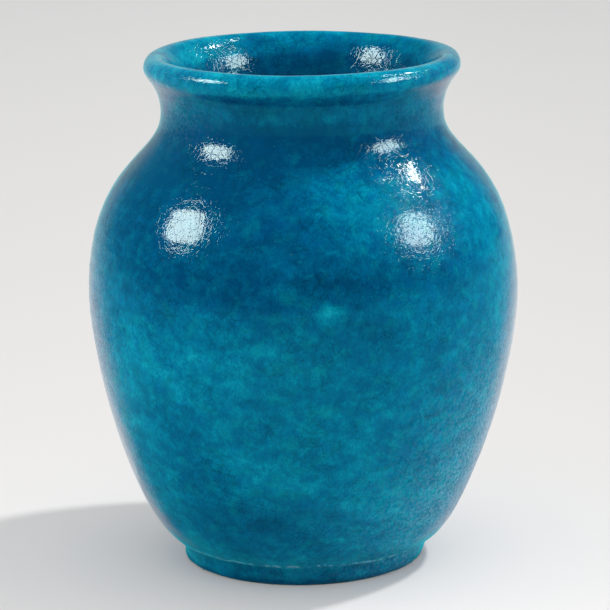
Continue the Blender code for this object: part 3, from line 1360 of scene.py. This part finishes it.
    def stand_camera(self, aim: Vector) -> None:
        """Stands the camera where the photograph was taken from.

        Args:
            aim: The point that it faces.
        """
        data = bpy.data.cameras.new("camera")
        data.sensor_fit = "HORIZONTAL"
        data.lens = self.camera_lens
        data.shift_x = self.camera_shift
        camera = placed("camera", data)
        way = compass(0.0, self.camera_elevation)
        camera.location = aim + way * self.camera_distance
        camera.rotation_mode = "QUATERNION"
        level = (-way).to_track_quat("-Z", "Y")
        camera.rotation_quaternion = level @ Quaternion((0.0, 0.0, 1.0), self.camera_roll)
        bpy.context.scene.camera = camera


@dataclass
class Vase:
    """The pot itself: its finishes and its five pieces.

    The numbers of bands are shares of the height, from the foot up, and how thick the glaze lies there. Those of
    patches, grain and ripples are the fields of a Patch.
    """

    seam: JointLine = JointLine()
    darkened_width: float = 5.0 * MM

    bands: Pairs = (
        (0.0, 1.0),
        (0.008, 0.80),
        (0.02, 0.38),
        (0.10, 0.45),
        (0.30, 0.44),
        (0.52, 0.50),
        (0.66, 0.58),
        (0.76, 0.64),
        (0.83, 0.84),
        (0.89, 0.95),
        (0.92, 0.70),
        # The dark ring just under the lip's roll is partly thicker glaze and partly painted shade under the roll.
        (0.945, 0.90),
        (0.965, 0.58),
        (0.985, 0.50),
        (1.0, 0.32),
    )
    patches: Rows = (
        (16.0, 0.190, 0.038, 0.015, -0.27),
        (27.0, 0.174, 0.024, 0.014, -0.12),
        (62.0, 0.180, 0.030, 0.030, -0.22),
        (0.0, 0.233, 0.070, 0.009, -0.26),
        (-88.0, 0.232, 0.040, 0.010, -0.28),
        (-125.0, 0.233, 0.026, 0.009, -0.24),
        (-63.0, 0.203, 0.032, 0.014, 0.50),
        (-56.0, 0.178, 0.030, 0.020, 0.20),
        (-13.0, 0.184, 0.022, 0.015, 0.24),
        (-40.0, 0.152, 0.030, 0.013, 0.16),
        (-30.0, 0.190, 0.011, 0.010, 0.16),
        (-12.0, 0.205, 0.022, 0.012, 0.08),
        (-17.0, 0.151, 0.050, 0.015, 0.20),
        (-11.0, 0.171, 0.011, 0.006, 0.18),
        (10.0, 0.148, 0.013, 0.007, 0.12),
        (8.0, 0.140, 0.006, 0.005, -0.50),
        (-4.0, 0.149, 0.008, 0.003, -0.24),
        (-32.0, 0.118, 0.036, 0.018, -0.12),
        (18.0, 0.123, 0.024, 0.014, 0.12),
        (42.0, 0.150, 0.014, 0.010, 0.08),
        (-34.0, 0.066, 0.012, 0.012, 0.14),
        (-22.0, 0.035, 0.030, 0.011, 0.28),
        (38.0, 0.040, 0.030, 0.020, -0.14),
    )
    # Grain patches roughen the glaze and make it paler; the paleness is partly a painted sheen.
    grain: Rows = (
        (70.0, 0.054, 0.037, 0.050, 1.25),
        (-80.0, 0.105, 0.026, 0.046, 0.8),
        (72.0, 0.225, 0.028, 0.018, 0.3),
        (-72.0, 0.225, 0.028, 0.018, 0.4),
        (62.0, 0.034, 0.030, 0.018, 0.5),
        (38.0, 0.173, 0.016, 0.012, 0.25),
    )
    ripples: Rows = (
        (-133.0, 0.222, 0.020, 0.016, 0.9),
        (135.0, 0.222, 0.020, 0.016, 1.0),
        (40.0, 0.171, 0.024, 0.018, 0.36),
        (-37.0, 0.174, 0.020, 0.016, 0.17),
        (-36.0, 0.203, 0.018, 0.007, 0.46),
        (34.0, 0.204, 0.018, 0.007, 0.46),
        (-45.0, 0.237, 0.016, 0.005, 0.9),
        (42.0, 0.237, 0.018, 0.005, 0.9),
        (-137.0, 0.238, 0.014, 0.005, 1.0),
    )

    def glazes(self) -> tuple[CrackleGlaze, CrackleGlaze, CrackleGlaze]:
        """The glaze outside with the pot's patches, the thick even lining, partly painted shade, and the glaze under
        the base.

        Returns:
            The three finishes.
        """
        marks = [tuple(Patch(*row) for row in rows) for rows in (self.patches, self.grain, self.ripples)]
        outer = CrackleGlaze(bands=self.bands, patches=marks[0], grain=marks[1], ripples=marks[2])
        lining = CrackleGlaze(
            name="turquoise_lining_glaze",
            # The lining's darker shades, and its bands that darken downwards, are partly painted shade inside the
            # mouth.
            teal=(0.0, 0.088, 0.180, 1.0),
            deep=(0.0, 0.045, 0.118, 1.0),
            bloom_and_sheen=(0.0, 0.090, 0.160, 1.0),
            mottle=0.5,
            bands=((0.0, 1.0), (0.90, 0.98), (1.0, 0.74)),
            grain=(Patch(180.0, 0.215, 0.150, 0.040, 0.6),),
        )
        return outer, lining, CrackleGlaze(name="turquoise_base_glaze", bands=((0.0, 0.55), (1.0, 0.55)))

    def makers(self, joint: float) -> tuple[Union[ClayPiece, GlazeSkin], ...]:
        """The five pieces.

        Args:
            joint: The level of the foot's joint.

        Returns:
            The body, the foot ring, the outer coat, the lining and the coat under the base.
        """
        body = ClayPiece(
            "thrown_body",
            Node.BODY,
            columns=144,
            spacings=((-1.0, 2.0 * MM),),
            lines=ThrowingLines(8.0 * MM, 0.12 * MM, 3.0 * MM, 0.05),
        )
        ring = ClayPiece(
            "luted_foot_ring",
            Node.FOOT_RING,
            columns=256,
            spacings=((-1.0, 0.7 * MM),),
            fade=0.6 * MM,
            swells=(Swell(0.007, 0.14 * MM, 41.0), Swell(0.0022, 0.05 * MM, 47.0)),
        )
        outer = GlazeSkin(
            "outer_glaze_skin",
            Node.OUTER_GLAZE,
            columns=352,
            spacings=((-1.0, 0.55 * MM), (0.016, 1.9 * MM), (0.222, 1.0 * MM)),
            lines=ThrowingLines(7.0 * MM, 0.06 * MM, 3.0 * MM, 0.05),
            swells=(Swell(0.085, 0.75 * MM, 3.0), Swell(0.030, 0.20 * MM, 8.0), Swell(0.011, 0.10 * MM, 15.0)),
            marks=(
                HandMark(90.0, 0.150, 0.022, -0.6 * MM),
                HandMark(-90.0, 0.066, 0.040, -1.2 * MM),
                HandMark(-90.0, 0.026, 0.030, -1.0 * MM),
                HandMark(90.0, 0.040, 0.024, -0.6 * MM),
            ),
            seam=self.seam,
            joint=joint,
            hem=0.5 * MM,
        )
        lining = GlazeSkin(
            "lining_glaze_skin",
            Node.LINING_GLAZE,
            columns=256,
            spacings=((-1.0, 2.2 * MM),),
            lines=ThrowingLines(9.0 * MM, 0.16 * MM, 4.0 * MM, 0.06),
            swells=(Swell(0.030, 0.14 * MM, 21.0), Swell(0.011, 0.07 * MM, 27.0)),
        )
        base = GlazeSkin(
            "base_glaze_skin",
            Node.BASE_GLAZE,
            columns=192,
            spacings=((-1.0, 0.9 * MM),),
            fade=1.0 * MM,
            swells=(Swell(0.014, 0.10 * MM, 33.0),),
        )
        return body, ring, outer, lining, base

    def build(self, frame: dict) -> list[bpy.types.Object]:
        """Builds and dresses every piece.

        Args:
            frame: The loaded frame.

        Returns:
            The pieces.
        """
        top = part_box("outer_glaze")[1].z
        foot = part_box("foot_ring")[1]
        outer, lining, base = self.glazes()
        finishes = (
            BuffClay().material(),
            # The foot's clay darkens at its outer edge, partly painted shade at the standing edge.
            BuffClay(name="darkened_foot_clay", darkened_beyond=foot.x - self.darkened_width).material(),
            outer.material(top, foot.z, self.seam),
            lining.material(top),
            base.material(top),
        )
        pieces = []
        for maker, finish in zip(self.makers(foot.z), finishes):
            piece = maker.build(frame, finish)
            LOG.info("%s stands for %s: %d faces", piece.name, maker.node.value, len(piece.data.polygons))
            pieces.append(piece)
        return pieces


def main() -> None:
    """Builds the pot round its frame and sets up the studio."""
    logging.basicConfig(level=logging.INFO, format="%(name)s: %(message)s")
    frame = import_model()
    pieces = Vase().build(frame)
    pot = bpy.data.collections.new("faience_vase")
    for piece in pieces:
        pot.objects.link(piece)
    Studio().build(pot)


if __name__ == "__main__":
    main()
